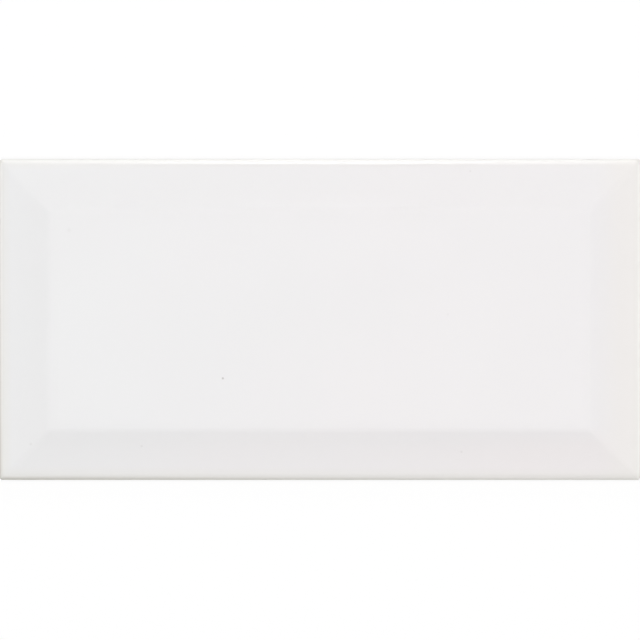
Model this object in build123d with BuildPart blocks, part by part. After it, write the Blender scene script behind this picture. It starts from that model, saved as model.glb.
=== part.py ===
from build123d import *

import os

# Overall size of the tile, in millimetres
tile_length = 200.0
tile_width = 100.0
thickness = 8.0

# Glazed face: a flat raised panel with a slightly hollow bevel on each side
bevel_width = 15.5
bevel_drop = 3.9
bevel_hollow = 0.12
crease_radius = 10.0
arris_radius = 1.8
corner_radius = 1.2

# Pressed edge round the back
back_edge_inset = 0.6
back_edge_rise = 1.0

# Key pressed into the back for the adhesive, as cells between ribs
key_rim = 6.0
key_rib = 3.0
key_depth = 0.8
key_pitch = 22.0
key_draft = 35.0
key_corner_radius = 1.2

# Height of the tile at its edge, and how far the rim reaches in past the rounded crease
edge_height = thickness - bevel_drop
rim_depth = bevel_width + crease_radius


def key_cells(span):
    """Even number of key cells across one span of the back, and the size of each cell."""
    key_span = span - 2 * (back_edge_inset + key_rim)
    cell_count = 2 * round(key_span / (2 * key_pitch))
    cell_size = (key_span - (cell_count - 1) * key_rib) / cell_count
    return cell_count, cell_size


with BuildPart() as bevelled_tile:
    # Outline of the tile, walked round from the middle of one long side
    with BuildLine():
        outline = Polyline(
            (0, -tile_width / 2),
            (tile_length / 2, -tile_width / 2),
            (tile_length / 2, tile_width / 2),
            (-tile_length / 2, tile_width / 2),
            (-tile_length / 2, -tile_width / 2),
            close=True,
        )

    # Section of the rim, drawn inwards from the outline and upwards from the back
    with BuildSketch(Plane(origin=outline @ 0, x_dir=(0, 1, 0), z_dir=outline % 0)) as rim_section:
        with BuildLine():
            Polyline(
                (bevel_width, thickness),
                (rim_depth, thickness),
                (rim_depth, 0),
                (back_edge_inset, 0),
                (0, back_edge_rise),
                (0, edge_height),
            )
            SagittaArc((0, edge_height), (bevel_width, thickness), -bevel_hollow)
        make_face()
        crease = rim_section.vertices().sort_by_distance((bevel_width, thickness))[0]
        fillet(crease, radius=crease_radius)
        arris = rim_section.vertices().sort_by_distance((0, edge_height))[0]
        fillet(arris, radius=arris_radius)

    # The rim runs round the outline with its bevels mitred at the corners
    sweep(transition=Transition.RIGHT)

    # Middle of the panel, flush with the rim above and below
    with BuildSketch():
        Rectangle(tile_length - 2 * rim_depth, tile_width - 2 * rim_depth)
    extrude(amount=thickness)

    # Corners rounded in plan
    with BuildSketch():
        RectangleRounded(tile_length, tile_width, corner_radius)
    extrude(amount=thickness, mode=Mode.INTERSECT)

    # Shallow drafted cells leave a lattice of ribs on the back
    cells_along, cell_length = key_cells(tile_length)
    cells_across, cell_width = key_cells(tile_width)
    with BuildSketch():
        with GridLocations(cell_length + key_rib, cell_width + key_rib, cells_along, cells_across):
            RectangleRounded(cell_length, cell_width, key_corner_radius)
    extrude(amount=key_depth, taper=key_draft, mode=Mode.SUBTRACT)

os.makedirs("parts", exist_ok=True)
bevelled_tile.part.label = "bevelled_tile"
export_step(bevelled_tile.part, "parts/bevelled_tile.step")
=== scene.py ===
# %% [markdown]
# This lesson dresses a white bevelled wall tile. The real tile is pressed from dry clay in a steel die,
# then glazed and fired as one piece, so it is one mesh here too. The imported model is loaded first, because
# it holds the true size and place of the tile. Every size below is read from it or named in millimetres.

# %% Load the frame
import math

import bmesh
import bpy
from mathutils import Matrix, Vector


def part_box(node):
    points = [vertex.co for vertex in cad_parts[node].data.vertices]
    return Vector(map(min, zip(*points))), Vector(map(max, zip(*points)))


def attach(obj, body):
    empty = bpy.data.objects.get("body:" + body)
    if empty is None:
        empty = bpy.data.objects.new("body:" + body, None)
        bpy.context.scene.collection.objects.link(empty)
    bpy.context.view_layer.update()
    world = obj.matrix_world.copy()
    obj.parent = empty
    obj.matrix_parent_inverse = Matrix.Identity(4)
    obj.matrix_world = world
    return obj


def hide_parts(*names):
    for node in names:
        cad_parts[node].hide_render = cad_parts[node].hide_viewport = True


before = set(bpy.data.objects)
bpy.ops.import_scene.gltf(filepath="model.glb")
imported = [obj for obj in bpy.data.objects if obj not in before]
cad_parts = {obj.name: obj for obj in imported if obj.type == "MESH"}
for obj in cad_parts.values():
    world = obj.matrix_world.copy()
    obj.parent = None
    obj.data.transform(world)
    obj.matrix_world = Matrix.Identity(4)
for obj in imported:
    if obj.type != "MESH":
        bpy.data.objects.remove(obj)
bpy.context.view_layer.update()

MM = 0.001
tile_low, tile_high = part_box("bevelled_tile")
tile_length = tile_high.x - tile_low.x
tile_width = tile_high.y - tile_low.y
thickness = tile_high.z - tile_low.z
print(f"tile frame: {tile_length / MM:.1f} x {tile_width / MM:.1f} x {thickness / MM:.1f} mm")

# %% [markdown]
# The colours below are written as they should look, so the picture is shown with the plain Standard
# transform. Filmic looks would grey the whites of a white tile on a white ground.

# %% Colour management
scene = bpy.context.scene
scene.view_settings.view_transform = "Standard"
print("view transform:", scene.view_settings.view_transform)

# %% [markdown]
# A maker cuts the die as a block with a raised panel. The same block can be drawn as a cube whose top face
# is inset again and again: each inset keeps the corners mitred, which is just how the four bevels of the
# real tile meet. A sculpted grid could do it as well, but its mitres would wander. The cube starts above
# the pressed back edge, and ends where the glazed face begins.

# %% Block for the tile
bevel_width = 15.5 * MM
bevel_drop = 3.9 * MM
arris_drop = 0.7 * MM
back_edge_inset = 0.6 * MM
back_edge_rise = 1.0 * MM
side_top = thickness - bevel_drop - arris_drop

bpy.ops.object.select_all(action="DESELECT")
bpy.ops.mesh.primitive_cube_add(size=1)
tile = bpy.context.active_object
tile.name = "glazed_tile"
tile.scale = (tile_length, tile_width, side_top - back_edge_rise)
tile.location.z = (side_top + back_edge_rise) / 2
bpy.ops.object.transform_apply(location=True, rotation=True, scale=True)
print(f"block: from {back_edge_rise / MM:.1f} to {side_top / MM:.1f} mm above the back")

# %% [markdown]
# By hand, faces are picked with the mouse. A script picks them by their place or by the way they face, and
# a small helper does that here, because it is needed again and again.

# %% Helper that picks faces by place or normal
upright = 0.9


def pick_faces(piece, wanted):
    """In edit mode, leaves only those faces selected that wanted() accepts, and counts them."""
    bpy.ops.mesh.select_mode(type="FACE")
    bpy.ops.mesh.select_all(action="DESELECT")
    mesh = bmesh.from_edit_mesh(piece.data)
    picked = [face for face in mesh.faces if wanted(face)]
    for face in picked:
        face.select_set(True)
    bmesh.update_edit_mesh(piece.data)
    return len(picked)


print("face picker ready")

# %% [markdown]
# Melted glaze softens every form. It runs off the arris, so the outer few millimetres roll over. It leaves
# the bevel a little hollow, steepest next to the panel. It also rounds off the margin of the panel. A
# formula gives the height of the face for each distance from the outline, and a row of insets follows it.

# %% Section of the glazed face
bevel_hollow = 0.38 * MM
arris_width = 2.7 * MM
arris_power = 3
margin_width = 3.0 * MM
margin_drop = 0.1 * MM
margin_power = 2


def face_height(inwards):
    """Height of the glazed face above the back, at a distance inwards from the outline."""
    if inwards > bevel_width:
        to_flat = 1 - (inwards - bevel_width) / margin_width
        return thickness - margin_drop * to_flat ** margin_power
    share = inwards / bevel_width
    height = thickness - bevel_drop + (bevel_drop - margin_drop) * share
    height -= 4 * bevel_hollow * share * (1 - share)
    to_edge = max(0, 1 - inwards / arris_width)
    return height - arris_drop * to_edge ** arris_power


def even_steps(start, end, count):
    """Places that divide the way from start to end evenly, without the start."""
    return [start + (end - start) * (step + 1) / count for step in range(count)]


arris_steps = 5
bevel_steps = 6
margin_steps = 3
arris_rings = even_steps(0, arris_width, arris_steps)
bevel_rings = even_steps(arris_width, bevel_width, bevel_steps)
margin_rings = even_steps(bevel_width, bevel_width + margin_width, margin_steps)
print("heights in mm:", [round(face_height(ring) / MM, 2) for ring in bevel_rings])

# %% Raise the face
bpy.ops.object.mode_set(mode="EDIT")
pick_faces(tile, lambda face: face.normal.z > upright)
reached = 0
for ring in arris_rings + bevel_rings + margin_rings:
    bpy.ops.mesh.inset(thickness=ring - reached, depth=face_height(ring) - face_height(reached))
    reached = ring
bpy.ops.object.mode_set(mode="OBJECT")
print("raised:", len(tile.data.polygons), "faces")

# %% [markdown]
# No edge of a glazed tile is sharp. The crease round the panel and the mitres are soft bends, the lip of
# the arris is tighter, and the corners are rounded in plan. One Bevel modifier can round them all, with a
# weight on each edge for its own size, and it then also knits the corners where they meet.

# %% Round the edges
crease_round = 0.8 * MM
mitre_round = 0.7 * MM
arris_round = 0.15 * MM
corner_round = 1.2 * MM
rounding_segments = 8
same_place = 0.05 * MM


def edge_round(start, end):
    """How far the rounding of an edge of the block reaches to each side, by where the edge lies."""
    lowest = min(start.z, end.z)
    level = abs(start.z - end.z) < same_place
    mitred = abs(start.x - end.x) > same_place and abs(start.y - end.y) > same_place
    if mitred and lowest > side_top - same_place:
        return mitre_round
    if not level:
        return corner_round
    if abs(lowest - face_height(bevel_width)) < same_place:
        return crease_round
    if abs(lowest - side_top) < same_place:
        return arris_round
    return 0.0


weights = tile.data.attributes.new("bevel_weight_edge", "FLOAT", "EDGE")
for edge in tile.data.edges:
    start, end = (tile.data.vertices[index].co for index in edge.vertices)
    weights.data[edge.index].value = edge_round(start, end) / corner_round
rounding = tile.modifiers.new("Rounded edges", "BEVEL")
rounding.limit_method = "WEIGHT"
rounding.width = corner_round
rounding.segments = rounding_segments
bpy.ops.object.modifier_apply(modifier=rounding.name)
print("rounded:", len(tile.data.polygons), "faces")

# %% [markdown]
# The die draws the clay in a little round the back, so that the tile comes out of it cleanly. The back face
# is inset downwards once, inside the rounded corners, and the two edges that this makes are then broken.

# %% Press in the back edge
pressed_round = 0.25 * MM
pressed_segments = 3


def pick_level_edges(piece, heights):
    """In edit mode, leaves only those level edges selected that lie at one of the heights."""
    bpy.ops.mesh.select_mode(type="EDGE")
    bpy.ops.mesh.select_all(action="DESELECT")
    mesh = bmesh.from_edit_mesh(piece.data)
    for edge in mesh.edges:
        ends = [vertex.co.z for vertex in edge.verts]
        level = any(max(abs(end - height) for end in ends) < same_place for height in heights)
        edge.select_set(level)
    bmesh.update_edit_mesh(piece.data)


bpy.ops.object.mode_set(mode="EDIT")
pick_faces(tile, lambda face: face.normal.z < -upright)
bpy.ops.mesh.inset(thickness=back_edge_inset, depth=back_edge_rise)
pick_level_edges(tile, (0, back_edge_rise))
bpy.ops.mesh.bevel(offset=pressed_round, segments=pressed_segments)
bpy.ops.object.mode_set(mode="OBJECT")
print("back edge:", len(tile.data.polygons), "faces")

# %% [markdown]
# The back is pressed with a key: shallow cells between ribs, which the adhesive grips. A stamp in the shape
# of one cell is modelled first. It is drawn from the section of the cell's wall: a rounded lip, a drafted
# side that lets the die come away, and a rounded foot. Insets of the stamp's top face follow that section.

# %% Section of a key cell
key_depth = 0.8 * MM
key_draft = math.radians(35)
lip_radius = 0.3 * MM
foot_radius = 0.5 * MM
round_steps = 3
wall_turn = math.pi / 2 - key_draft
lip_reach = lip_radius * math.tan(wall_turn / 2)
foot_reach = foot_radius * math.tan(wall_turn / 2)
foot_start = key_depth * math.tan(key_draft) + foot_reach

cell_section = []
for step in range(round_steps + 1):
    angle = wall_turn * step / round_steps
    cell_section.append((lip_radius * math.sin(angle) - lip_reach, lip_radius * (1 - math.cos(angle))))
for step in range(round_steps + 1):
    angle = wall_turn * (1 - step / round_steps)
    up = key_depth - foot_radius * (1 - math.cos(angle))
    cell_section.append((foot_start - foot_radius * math.sin(angle), up))
first_run = cell_section[1][0] - cell_section[0][0]
first_rise = cell_section[1][1] - cell_section[0][1]
cell_section[0] = (cell_section[0][0] - first_run, -first_rise)
print("cell section in mm:", [(round(u / MM, 2), round(v / MM, 2)) for u, v in cell_section])

# %% Stamp for one cell
key_rim = 6.0 * MM
key_rib = 3.0 * MM
key_pitch = 22.0 * MM
key_corner_radius = 1.2 * MM
key_corner_segments = 5
stamp_depth = 2.0 * MM


def key_row(span):
    """Number of key cells across one span of the back, and the size of each."""
    key_span = span - 2 * (back_edge_inset + key_rim)
    count = 2 * round(key_span / (2 * key_pitch))
    return count, (key_span - (count - 1) * key_rib) / count


cells_along, cell_length = key_row(tile_length)
cells_across, cell_width = key_row(tile_width)
flare = -cell_section[0][0]
stamp_top = cell_section[0][1]

bpy.ops.object.select_all(action="DESELECT")
bpy.ops.mesh.primitive_cube_add(size=1)
stamp = bpy.context.active_object
stamp.name = "key_stamp"
stamp.scale = (cell_length + 2 * flare, cell_width + 2 * flare, stamp_depth)
stamp.location = (
    -(cells_along - 1) * (cell_length + key_rib) / 2,
    -(cells_across - 1) * (cell_width + key_rib) / 2,
    stamp_top - stamp_depth / 2,
)
bpy.ops.object.transform_apply(location=True, rotation=True, scale=True)

bpy.ops.object.mode_set(mode="EDIT")
bpy.ops.mesh.select_mode(type="EDGE")
bpy.ops.mesh.select_all(action="DESELECT")
stamp_mesh = bmesh.from_edit_mesh(stamp.data)
for edge in stamp_mesh.edges:
    edge.select_set(abs(edge.verts[0].co.z - edge.verts[1].co.z) > same_place)
bmesh.update_edit_mesh(stamp.data)
bpy.ops.mesh.bevel(offset=key_corner_radius + flare, segments=key_corner_segments)
pick_faces(stamp, lambda face: face.normal.z > upright)
for (near, low), (far, high) in zip(cell_section, cell_section[1:]):
    bpy.ops.mesh.inset(thickness=far - near, depth=high - low)
bpy.ops.object.mode_set(mode="OBJECT")
print("stamp:", len(stamp.data.polygons), "faces")

# %% [markdown]
# Two Array modifiers repeat the stamp over the back, and a Boolean modifier presses all of the cells at
# once. Cutting the back face into cells by hand would do too, but it leaves the lips sharp.

# %% Press the key into the back
for axis, count, step in ((0, cells_along, cell_length + key_rib), (1, cells_across, cell_width + key_rib)):
    repeat = stamp.modifiers.new("Repeat", "ARRAY")
    repeat.count = count
    repeat.use_relative_offset = False
    repeat.use_constant_offset = True
    repeat.constant_offset_displace = [step * (axis == other) for other in range(3)]
    bpy.ops.object.modifier_apply(modifier=repeat.name)

bpy.ops.object.select_all(action="DESELECT")
bpy.context.view_layer.objects.active = tile
tile.select_set(True)
press = tile.modifiers.new("Pressed key", "BOOLEAN")
press.operation = "DIFFERENCE"
press.solver = "EXACT"
press.object = stamp
bpy.ops.object.modifier_apply(modifier=press.name)
bpy.data.objects.remove(stamp)
print("key:", cells_along, "x", cells_across, "cells,", len(tile.data.polygons), "faces in all")

# %% [markdown]
# Smooth shading is right for all the rounded runs, but it would also bend the light on the flats beside
# them. Weighted normals let the largest face at each corner decide, so the panel and the ribs stay flat.

# %% Shade the tile
crisp_angle = math.radians(40)
bpy.ops.object.shade_smooth_by_angle(angle=crisp_angle)
flats = tile.modifiers.new("Flat flats", "WEIGHTED_NORMAL")
flats.keep_sharp = True
bpy.ops.object.modifier_apply(modifier=flats.name)
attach(tile, "root")
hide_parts("bevelled_tile")
print("tile mesh:", len(tile.data.vertices), "points,", len(tile.data.polygons), "faces")


# %% [markdown]
# The finishes are built from shader nodes. A few small helpers keep that readable: one adds a node and
# fills or links its inputs, and the others name the steps that come up again and again.

# %% Helpers for shader nodes
def add_node(tree, kind, options=None, inputs=None):
    """Adds a node, sets its options, and fills or links its inputs by name or number."""
    node = tree.nodes.new(kind)
    for name, value in (options or {}).items():
        setattr(node, name, value)
    for name, value in (inputs or {}).items():
        if isinstance(value, bpy.types.NodeSocket):
            tree.links.new(value, node.inputs[name])
        else:
            node.inputs[name].default_value = value
    return node


def calculate(tree, operation, first, second=0.0):
    """Adds a Math node and gives its result."""
    return add_node(tree, "ShaderNodeMath", {"operation": operation}, {0: first, 1: second}).outputs[0]


def remap(tree, value, low, high, new_low, new_high, smooth=True):
    """Maps a value from one range to another, with soft ends unless told otherwise."""
    kind = "SMOOTHSTEP" if smooth else "LINEAR"
    ends = {"Value": value, "From Min": low, "From Max": high, "To Min": new_low, "To Max": new_high}
    return add_node(tree, "ShaderNodeMapRange", {"interpolation_type": kind}, ends).outputs["Result"]


def mix_colours(tree, share, first, second):
    """Goes from the first colour to the second by a share from 0 to 1."""
    node = add_node(tree, "ShaderNodeMix", {"data_type": "RGBA"}, {0: share, 6: first, 7: second})
    return node.outputs[2]


def mix_values(tree, share, first, second):
    """Goes from the first value to the second by a share from 0 to 1."""
    return add_node(tree, "ShaderNodeMix", None, {0: share, 2: first, 3: second}).outputs[0]


def noise(tree, place, size, detail=2.0):
    """Soft noise from 0 to 1, whose patches are about as large as size, in metres."""
    inputs = {"Vector": place, "Scale": 1 / size, "Detail": detail}
    return add_node(tree, "ShaderNodeTexNoise", None, inputs).outputs["Fac"]


def new_group(name, inputs, outputs):
    """Starts a node group with named sockets, and gives it with its input and output nodes."""
    group = bpy.data.node_groups.new(name, "ShaderNodeTree")
    for socket, kind in inputs.items():
        group.interface.new_socket(socket, in_out="INPUT", socket_type=kind)
    for socket, kind in outputs.items():
        group.interface.new_socket(socket, in_out="OUTPUT", socket_type=kind)
    return group, group.nodes.new("NodeGroupInput"), group.nodes.new("NodeGroupOutput")


def new_material(name):
    """Starts a material and gives it with its node tree and its main shader."""
    material = bpy.data.materials.new(name)
    material.use_nodes = True
    return material, material.node_tree, material.node_tree.nodes["Principled BSDF"]


print("shader helpers ready")

# %% [markdown]
# Under the glaze the tile is pale fired clay. It shows on the back and low on the sides, so two materials
# need it, and it becomes a node group. Pressed clay is matt and cream, clouded where the powder was denser,
# with a sandy grain, pores, and a few dark grains of iron. The pores are also painted darker, towards the
# colour of the iron, as painted shade in the pits.

# %% Pressed clay
clay_pale = (0.74, 0.68, 0.58, 1)
clay_dense = (0.63, 0.565, 0.465, 1)
clay_iron = (0.24, 0.15, 0.09, 1)
cloud_size = 11 * MM
grain_size = 0.55 * MM
pore_size = 1.7 * MM
grain_height = 0.05 * MM
pore_depth = 0.16 * MM
noise_span = (0.3, 0.7)
grain_span = (0.35, 0.75)
grain_share = 0.4
pore_edge = (0.1, 0.2)
pore_lots = (0.45, 0.5)
pore_painted_shade = 0.55
iron_edge = (0.06, 0.13)
iron_lots = (0.86, 0.9)
clay_roughness = (0.82, 0.95)

clay, clay_in, clay_out = new_group(
    "pressed_clay",
    {"Vector": "NodeSocketVector"},
    {"Color": "NodeSocketColor", "Roughness": "NodeSocketFloat", "Height": "NodeSocketFloat"},
)
clay_place = clay_in.outputs["Vector"]
clouds = remap(clay, noise(clay, clay_place, cloud_size, detail=4.0), *noise_span, 0, 1)
grain = noise(clay, clay_place, grain_size, detail=3.0)
pores = add_node(clay, "ShaderNodeTexVoronoi", None, {"Vector": clay_place, "Scale": 1 / pore_size})
lots = add_node(clay, "ShaderNodeSeparateColor", None, {"Color": pores.outputs["Color"]})
pore = calculate(
    clay, "MULTIPLY",
    remap(clay, pores.outputs["Distance"], *pore_edge, 1, 0),
    remap(clay, lots.outputs["Red"], *pore_lots, 0, 1),
)
iron = calculate(
    clay, "MULTIPLY",
    remap(clay, pores.outputs["Distance"], *iron_edge, 1, 0),
    remap(clay, lots.outputs["Green"], *iron_lots, 0, 1),
)
clay_tone = mix_colours(clay, clouds, clay_pale, clay_dense)
clay_tone = mix_colours(clay, remap(clay, grain, *grain_span, 0, grain_share), clay_tone, clay_dense)
# Painted shade: each pore is darkened towards the iron colour, as if shaded in its pit.
clay_tone = mix_colours(clay, calculate(clay, "MULTIPLY", pore, pore_painted_shade), clay_tone, clay_iron)
clay.links.new(mix_colours(clay, iron, clay_tone, clay_iron), clay_out.inputs["Color"])
clay.links.new(remap(clay, grain, *noise_span, *clay_roughness), clay_out.inputs["Roughness"])
clay_relief = calculate(
    clay, "SUBTRACT",
    calculate(clay, "MULTIPLY", grain, grain_height),
    calculate(clay, "MULTIPLY", pore, pore_depth),
)
clay.links.new(clay_relief, clay_out.inputs["Height"])
print("pressed clay:", len(clay.nodes), "nodes")

# %% [markdown]
# The back also carries a chalky kiln wash. It is brushed on so that the tile doesn't stick to the kiln's
# rollers, and it lies on the ribs, thin and patchy, and hardly reaches down into the cells.

# %% Bare back
wash_colour = (0.82, 0.80, 0.755, 1)
wash_reach = 0.35 * MM
wash_in_cells = 0.15
wash_patch = 14 * MM
wash_span = (0.35, 0.65)
wash_cover = (0.1, 0.75)

biscuit, back_tree, back_shader = new_material("bare_biscuit")
back_place = add_node(back_tree, "ShaderNodeTexCoord").outputs["Object"]
back_height = add_node(back_tree, "ShaderNodeSeparateXYZ", None, {"Vector": back_place}).outputs["Z"]
back_clay = add_node(back_tree, "ShaderNodeGroup", {"node_tree": clay}, {"Vector": back_place})
on_ribs = remap(back_tree, back_height, 0, wash_reach, 1, wash_in_cells)
patches = noise(back_tree, back_place, wash_patch, detail=5.0)
in_patches = remap(back_tree, patches, *wash_span, *wash_cover)
wash = calculate(back_tree, "MULTIPLY", on_ribs, in_patches)
back_tone = mix_colours(back_tree, wash, back_clay.outputs["Color"], wash_colour)
back_tree.links.new(back_tone, back_shader.inputs["Base Color"])
back_tree.links.new(back_clay.outputs["Roughness"], back_shader.inputs["Roughness"])
back_relief = {"Height": back_clay.outputs["Height"], "Distance": 1.0}
back_bump = add_node(back_tree, "ShaderNodeBump", None, back_relief)
back_tree.links.new(back_bump.outputs["Normal"], back_shader.inputs["Normal"])
print("bare back:", len(back_tree.nodes), "nodes")

# %% [markdown]
# The glaze is a white glass. Its colour drifts from a neutral white at one end to a rosy one at the other.
# The front bevel is painted rosier and the right bevel warm: painted tints of light, by the way these bevels
# face. Near the arris the glaze ran thin and looks creamy. At the lip the colour is painted down to a dark
# clay, most at the front left corner and least at the rear right. This is painted shade on the shaded edges,
# and partly also clay that shows through the thin glaze. It could be painted by hand, but masks that measure
# the way from each edge stay sharp at any size. First come the masks that say how thick the glaze is, with
# the painted shade of the lip added in, and how far down the sides it ran.

# %% Where the glaze changes
thin_width = 4.5 * MM
thin_power = 2.0
shade_fade_along = 0.6 * MM
shade_fade_across = 0.9 * MM
line_height = 2.3 * MM
line_wander = 1.1 * MM
line_softness = 0.1 * MM
drip_size = 15 * MM

glaze, glaze_tree, glaze_shader = new_material("white_glaze")
place = add_node(glaze_tree, "ShaderNodeTexCoord").outputs["Object"]
axes = add_node(glaze_tree, "ShaderNodeSeparateXYZ", None, {"Vector": place})
from_left = calculate(glaze_tree, "ADD", axes.outputs["X"], tile_length / 2)
from_front = calculate(glaze_tree, "ADD", axes.outputs["Y"], tile_width / 2)
from_right = calculate(glaze_tree, "SUBTRACT", tile_length, from_left)
from_rear = calculate(glaze_tree, "SUBTRACT", tile_width, from_front)
from_ends = calculate(glaze_tree, "MINIMUM", from_left, from_right)
from_sides = calculate(glaze_tree, "MINIMUM", from_front, from_rear)
from_edge = calculate(glaze_tree, "MINIMUM", from_ends, from_sides)
# Painted shade: these terms make the dark lip strongest at the front left corner and fade it towards the rear
# right.
shade_faded_along = remap(glaze_tree, from_left, 0, tile_length, 0, shade_fade_along, smooth=False)
shade_faded_across = remap(glaze_tree, from_front, 0, tile_width, 0, shade_fade_across, smooth=False)
shade_faded = calculate(glaze_tree, "ADD", shade_faded_along, shade_faded_across)
coat_and_shade_fade = calculate(glaze_tree, "ADD", from_edge, shade_faded)
below_lip = remap(glaze_tree, axes.outputs["Z"], 0, side_top, side_top, 0, smooth=False)
coat_and_shade_fade = calculate(glaze_tree, "ADD", coat_and_shade_fade, below_lip)
near_edge = remap(glaze_tree, from_edge, 0, thin_width, 1, 0)
thin = calculate(glaze_tree, "POWER", near_edge, thin_power)
drips = noise(glaze_tree, place, drip_size, detail=3.0)
wander = remap(glaze_tree, drips, 0, 1, -line_wander, line_wander, smooth=False)
glaze_line = calculate(glaze_tree, "ADD", wander, line_height)
above_line = calculate(glaze_tree, "SUBTRACT", axes.outputs["Z"], glaze_line)
glazed = remap(glaze_tree, above_line, -line_softness, line_softness, 0, 1)
print("glaze line:", line_height / MM, "mm up the sides")

# %% [markdown]
# Gas that escapes from the clay in the kiln leaves a few pinholes: specks where the glaze didn't quite
# close. Each is listed by its place on the face, its radius and how dark it is.
# The one left of the middle is the only dark one.

# %% Pinholes
pinholes = (
    (-30.2, -18.3, 0.55, 0.55),
    (-90.0, -38.8, 0.7, 0.12),
    (-78.0, 27.8, 1.1, 0.06),
    (-55.5, -39.4, 0.6, 0.12),
    (44.0, -41.2, 0.6, 0.12),
    (39.7, 1.6, 0.6, 0.07),
    (46.8, 46.2, 0.5, 0.12),
)
pinhole_colour = (0.28, 0.25, 0.22, 1)
pinhole = 0.0
for x, y, radius, darkness in pinholes:
    inwards = min(tile_length / 2 - abs(x * MM), tile_width / 2 - abs(y * MM), bevel_width + margin_width)
    centre = (x * MM, y * MM, face_height(inwards))
    away = add_node(glaze_tree, "ShaderNodeVectorMath", {"operation": "DISTANCE"}, {0: place, 1: centre})
    spot = remap(glaze_tree, away.outputs["Value"], 0, radius * MM, darkness, 0)
    pinhole = calculate(glaze_tree, "MAXIMUM", spot, pinhole)
print("pinholes:", len(pinholes))

# %% [markdown]
# The masks now choose the colours. A ramp carries the drift along the length, because it is slow and has
# only a few tones, and the bevels get their painted tints. A second ramp goes from a dark clay colour at the
# lip, which is painted shade and partly clay through thin glaze, to full glaze, and its alpha says how much
# of it shows. Pinholes, and the bare clay below the glaze line, are laid over both.

# %% Colour of the glaze
neutral_white = (0.867, 0.867, 0.870, 1)
rosy_white = (0.881, 0.861, 0.866, 1)
deep_rose = (0.893, 0.857, 0.858, 1)
painted_warm_light = (0.888, 0.860, 0.843, 1)
clay_and_painted_shade = (0.52, 0.50, 0.44, 1)
lip_cream = (0.84, 0.825, 0.78, 0.55)
lip_end = (0.86, 0.84, 0.80, 0)
lip_share = 0.3
rosy_stretch = (0.42, 0.62)
tint_size = 45 * MM
cloud_share = 0.05
length_share = 0.65
front_tint_gain = 1.8

along_length = remap(glaze_tree, from_left, 0, tile_length, 0, length_share, smooth=False)
# Painted tint: the front bevel is pushed further towards the rose, by the way it faces.
front_bevel_painted_tint = remap(glaze_tree, from_front, bevel_width / 2, bevel_width + margin_width, front_tint_gain, 1)
drift = calculate(glaze_tree, "MULTIPLY", along_length, front_bevel_painted_tint)
tint_noise = noise(glaze_tree, place, tint_size, detail=3.0)
tint_clouds = remap(glaze_tree, tint_noise, *noise_span, -cloud_share, cloud_share)
tint = calculate(glaze_tree, "ADD", drift, tint_clouds)
tones = add_node(glaze_tree, "ShaderNodeValToRGB", None, {"Fac": tint})
tones.color_ramp.elements[0].color = neutral_white
tones.color_ramp.elements[1].color = deep_rose
for stop in rosy_stretch:
    tones.color_ramp.elements.new(stop).color = rosy_white
# Painted light: the right bevel is tinted warm, as warm light from the right would tint it.
right_bevel_light_tint = remap(glaze_tree, from_right, thin_width, bevel_width, 1, 0)
glaze_tone = mix_colours(glaze_tree, right_bevel_light_tint, tones.outputs["Color"], painted_warm_light)
lip_place = remap(glaze_tree, coat_and_shade_fade, 0, thin_width, 0, 1, smooth=False)
# Painted shade at the lip: the ramp starts at a dark clay colour, partly real clay under thin glaze.
lip = add_node(glaze_tree, "ShaderNodeValToRGB", None, {"Fac": lip_place})
lip.color_ramp.elements[0].color = clay_and_painted_shade
lip.color_ramp.elements[1].color = lip_end
lip.color_ramp.elements.new(lip_share).color = lip_cream
glaze_tone = mix_colours(glaze_tree, lip.outputs["Alpha"], glaze_tone, lip.outputs["Color"])
glaze_tone = mix_colours(glaze_tree, pinhole, glaze_tone, pinhole_colour)
side_clay = add_node(glaze_tree, "ShaderNodeGroup", {"node_tree": clay}, {"Vector": place})
glaze_tone = mix_colours(glaze_tree, glazed, side_clay.outputs["Color"], glaze_tone)
glaze_tree.links.new(glaze_tone, glaze_shader.inputs["Base Color"])
print("glaze colour:", len(glaze_tree.nodes), "nodes")

# %% [markdown]
# Gloss and relief finish it. A fired glaze is nearly a mirror, and duller where it is thin, because there
# the clay has drunk it in. It ripples by a few hundredths of a millimetre, and up close it has a fine
# orange peel. Both go into a Bump node, with heights in true metres, because as mesh they would need a far
# finer grid than the form of the tile does.

# %% Gloss and relief of the glaze
gloss_low = 0.06
gloss_high = 0.1
gloss_thin = 0.34
gloss_size = 30 * MM
ripple_size = 24 * MM
ripple_height = 0.09 * MM
peel_size = 1.6 * MM
peel_height = 0.0012 * MM
glaze_thickness = 0.15 * MM
pinhole_depth = 0.08 * MM
glaze_index = 1.55

gloss_noise = noise(glaze_tree, place, gloss_size, detail=4.0)
gloss = remap(glaze_tree, gloss_noise, *noise_span, gloss_low, gloss_high)
gloss = mix_values(glaze_tree, thin, gloss, gloss_thin)
bare = calculate(glaze_tree, "SUBTRACT", 1.0, glazed)
roughness = mix_values(glaze_tree, glazed, side_clay.outputs["Roughness"], gloss)
glaze_tree.links.new(roughness, glaze_shader.inputs["Roughness"])
glaze_shader.inputs["IOR"].default_value = glaze_index
ripple = calculate(glaze_tree, "MULTIPLY", noise(glaze_tree, place, ripple_size, detail=1.0), ripple_height)
peel = calculate(glaze_tree, "MULTIPLY", noise(glaze_tree, place, peel_size, detail=1.0), peel_height)
skin = calculate(glaze_tree, "ADD", calculate(glaze_tree, "ADD", ripple, peel), glaze_thickness)
skin = calculate(glaze_tree, "SUBTRACT", skin, calculate(glaze_tree, "MULTIPLY", pinhole, pinhole_depth))
relief = calculate(
    glaze_tree, "ADD",
    calculate(glaze_tree, "MULTIPLY", skin, glazed),
    calculate(glaze_tree, "MULTIPLY", side_clay.outputs["Height"], bare),
)
glaze_bump = add_node(glaze_tree, "ShaderNodeBump", None, {"Height": relief, "Distance": 1.0})
glaze_tree.links.new(glaze_bump.outputs["Normal"], glaze_shader.inputs["Normal"])
print("glaze:", len(glaze_tree.nodes), "nodes")

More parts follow.
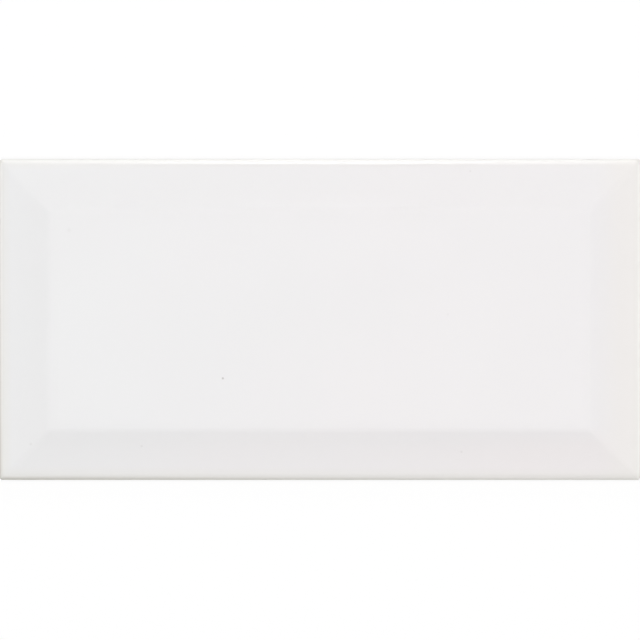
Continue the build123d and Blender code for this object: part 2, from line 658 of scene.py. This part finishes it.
# %% [markdown]
# Only the face and the sides are glazed, so the tile has two finishes. They could be masked inside one
# material, but here each face gets its own by its height, because the pressed edge round the back is a row
# of faces of its own and makes a clean border.

# %% Give each face its finish
tile.data.materials.append(glaze)
tile.data.materials.append(biscuit)
for face in tile.data.polygons:
    face.material_index = int(face.center.z < back_edge_rise)
print("bare faces:", sum(face.material_index for face in tile.data.polygons))

# %% [markdown]
# The tile lies on a plain white floor. For the eye, and for anything that mirrors it, the floor is lifted
# most of the way to white by Light Path, which lights nothing else. The lift grows with the distance,
# because the lamps don't reach that far. The rest of it is a matt paint that still shows the soft shadow of
# the tile.

# %% Floor
floor_size = 8
floor_colour = (0.65, 0.65, 0.65, 1)
white_share = 0.8
white_strength = 1.095
far_strength = 1.25
lit_reach = (0.25, 0.9)

bpy.ops.object.select_all(action="DESELECT")
bpy.ops.mesh.primitive_plane_add(size=floor_size)
floor = bpy.context.active_object
floor.name = "floor"


def seen_directly(tree):
    """1 for rays from the camera, from a mirroring surface or through glass, and 0 for light that bounces."""
    rays = add_node(tree, "ShaderNodeLightPath").outputs
    seen = calculate(tree, "MAXIMUM", rays["Is Camera Ray"], rays["Is Glossy Ray"])
    return calculate(tree, "MAXIMUM", seen, rays["Is Transmission Ray"])


floor_paint, floor_tree, floor_shader = new_material("floor_paint")
floor_shader.inputs["Base Color"].default_value = floor_colour
floor_shader.inputs["Roughness"].default_value = 1.0
floor_shader.inputs["Specular IOR Level"].default_value = 0.0
floor_place = add_node(floor_tree, "ShaderNodeTexCoord").outputs["Object"]
away = add_node(floor_tree, "ShaderNodeVectorMath", {"operation": "LENGTH"}, {0: floor_place})
strength = remap(floor_tree, away.outputs["Value"], *lit_reach, white_strength, far_strength)
white = add_node(floor_tree, "ShaderNodeEmission", None, {"Strength": strength})
lift = calculate(floor_tree, "MULTIPLY", seen_directly(floor_tree), white_share)
lifted = add_node(
    floor_tree, "ShaderNodeMixShader", None,
    {0: lift, 1: floor_shader.outputs["BSDF"], 2: white.outputs["Emission"]},
)
floor_tree.links.new(lifted.outputs["Shader"], floor_tree.nodes["Material Output"].inputs["Surface"])
floor.data.materials.append(floor_paint)
print("floor:", floor_size, "m square")

# %% [markdown]
# The studio itself is a white room. For the eye and for the mirror of the glaze it is plain white, but it
# sends out only a little light of its own, so that the lamps can model the tile.

# %% White room
fill_level = 0.05
studio = bpy.data.worlds.new("studio")
studio.use_nodes = True
scene.world = studio
room_tree = studio.node_tree
backdrop = room_tree.nodes["Background"]
backdrop.inputs["Color"].default_value = (1, 1, 1, 1)
studio_level = remap(room_tree, seen_directly(room_tree), 0, 1, fill_level, 1.0, smooth=False)
room_tree.links.new(studio_level, backdrop.inputs["Strength"])
print("room light:", fill_level)

# %% [markdown]
# A glossy tile is lit like a picture on a copy stand. One softbox hangs above it and four stand low round
# it, the strongest on the right and the weakest in front, so that the four bevels differ. All five are kept
# out of the mirror, as polarising filters do, so the glaze shows its own colour. Each lamp is given by its
# place and size in metres, and by how bright its face is.

# %% Softboxes
def add_panel(name, stand, size, radiance):
    """Hangs a rectangular lamp that faces the tile, with its brightness given as radiance."""
    lamp = bpy.data.lights.new(name, "AREA")
    lamp.shape = "RECTANGLE"
    lamp.size, lamp.size_y = size
    lamp.energy = radiance * math.pi * size[0] * size[1]
    panel = bpy.data.objects.new(name, lamp)
    scene.collection.objects.link(panel)
    panel.location = stand
    panel.rotation_euler = (-Vector(stand)).to_track_quat("-Z", "Y").to_euler()
    panel.visible_camera = False
    return panel


softboxes = {
    "overhead_softbox": ((0, 0, 0.95), (0.7, 0.7), 3.56),
    "right_softbox": ((0.9, 0, 0.42), (0.5, 0.5), 4.1),
    "rear_softbox": ((0, 0.9, 0.42), (0.5, 0.5), 3.4),
    "left_softbox": ((-0.9, 0, 0.42), (0.5, 0.5), 3.8),
    "front_softbox": ((0, -0.9, 0.42), (0.5, 0.5), 1.6),
}
for name, (stand, size, radiance) in softboxes.items():
    softbox = add_panel(name, stand, size, radiance)
    softbox.visible_glossy = False
print("softboxes:", list(softboxes))

# %% [markdown]
# Gloss only shows where there is something to mirror. Two windows do that, tall and narrow as slits: they
# stand far off, one behind and a dimmer one on the right, and draw a bright line along the arris that faces
# them. Wide windows would draw it too, but they would also white out the whole panel when it is seen from
# the front. They light nothing else, because the softboxes already do.

# %% Windows
windows = {
    "rear_window": ((0, 2.6, 1.4), (0.08, 2.4), 42),
    "right_window": ((2.6, 0, 1.25), (0.12, 2.1), 8),
}
for name, (stand, size, radiance) in windows.items():
    window = add_panel(name, stand, size, radiance)
    window.visible_diffuse = False
print("windows:", list(windows))

# %% [markdown]
# The camera looks straight down from far off through a long lens, so the tile shows square on and its two
# long sides stay parallel. It stands a hair off the middle, as a camera on a copy stand does.

# %% Camera
picture_width = 199.4 * MM
off_centre = 0.16 * MM
lens = 300
far_clip = 20
camera_data = bpy.data.cameras.new("camera")
camera_data.lens = lens
camera_data.clip_end = far_clip
camera = bpy.data.objects.new("camera", camera_data)
scene.collection.objects.link(camera)
camera_height = thickness - bevel_drop + picture_width * lens / camera_data.sensor_width
camera.location = (0, -off_centre, camera_height)
scene.camera = camera
print(f"camera: {camera.location.z:.2f} m up")
